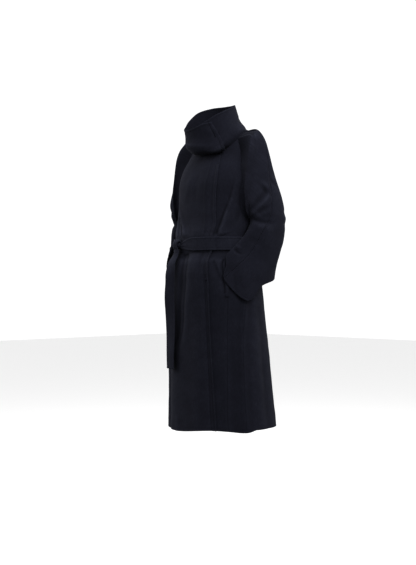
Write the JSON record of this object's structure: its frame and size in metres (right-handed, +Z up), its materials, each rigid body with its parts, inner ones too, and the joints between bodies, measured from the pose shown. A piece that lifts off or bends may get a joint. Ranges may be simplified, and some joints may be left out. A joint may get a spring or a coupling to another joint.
{
  "type": "belted coat",
  "caption": "Knee-length wool wrap coat with a high funnel collar, raglan sleeves bent to the pockets and a knotted cloth belt, hollow as worn.",
  "frame": {"origin": "middle of the neck base, level with the shoulder seams, where the wearer's neck and shoulders hold the coat", "axes": "+Z up towards the collar rim, -Y out of the coat's front, +X towards the wearer's left"},
  "size_m": [0.4802, 0.3694, 1.1621],
  "materials": {
    "wool_double_faced": "soft brushed double-faced wool, matt blue-black"
  },
  "bodies": {
    "root": {"back": "wool_double_faced", "belt_band": "wool_double_faced", "belt_knot": "wool_double_faced", "belt_tail_front": "wool_double_faced", "belt_tail_rear": "wool_double_faced", "collar": "wool_double_faced", "left_front": "wool_double_faced", "left_sleeve_back": "wool_double_faced", "left_sleeve_front": "wool_double_faced", "pocket_welt_left": "wool_double_faced", "pocket_welt_right": "wool_double_faced", "right_front": "wool_double_faced", "right_sleeve_back": "wool_double_faced", "right_sleeve_front": "wool_double_faced"}
  },
  "joints": []
}
